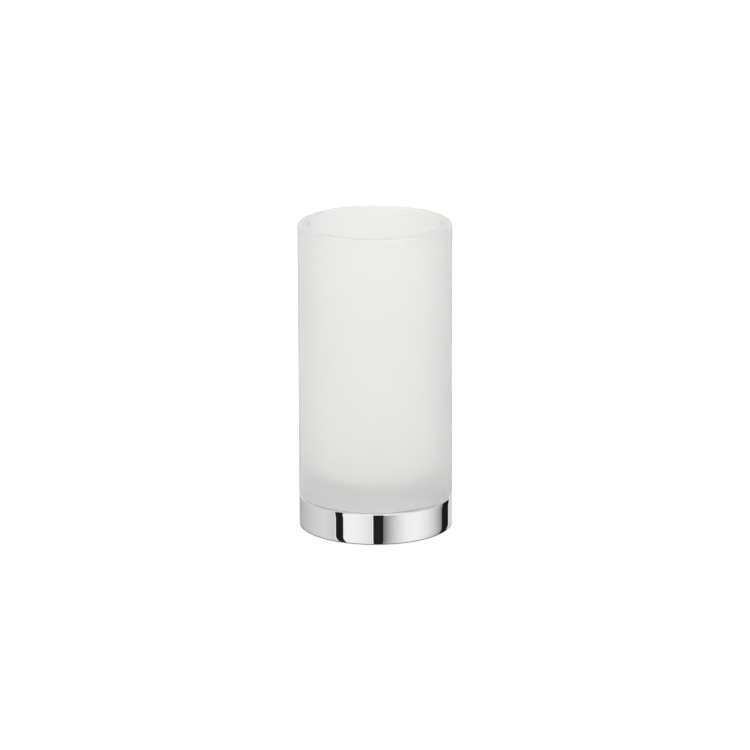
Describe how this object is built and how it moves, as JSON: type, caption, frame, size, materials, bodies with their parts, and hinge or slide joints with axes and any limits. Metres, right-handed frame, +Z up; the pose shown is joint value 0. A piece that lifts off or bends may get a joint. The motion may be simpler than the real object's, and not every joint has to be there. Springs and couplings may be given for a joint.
{
  "type": "tumbler holder",
  "caption": "Straight satin glass tumbler whose narrower solid foot drops into a low round chromed cup with a ribbed plastic seat and an anti-slip pad.",
  "frame": {"origin": "on the table, at the holder's axis", "axes": "+Z up along the axis of the cup and the tumbler; the object is round, so +X and +Y are any two level directions"},
  "size_m": [0.06, 0.06, 0.1213],
  "materials": {
    "chrome": "mirror-polished chrome plating on turned brass",
    "insert_plastic": "natural, slightly milky moulded plastic",
    "pad_rubber": "matt black foam rubber",
    "satin_glass": "etched satin glass, milky and translucent"
  },
  "bodies": {
    "base": {"base_cup": "chrome", "seat_insert": "insert_plastic", "foot_pad": "pad_rubber"},
    "tumbler": {"tumbler": "satin_glass"}
  },
  "joints": [
    {"name": "tumbler_lift", "type": "slide", "parent": "base", "child": "tumbler", "axis": [0, 0, 1], "range_m": [0, 0.04]}
  ]
}
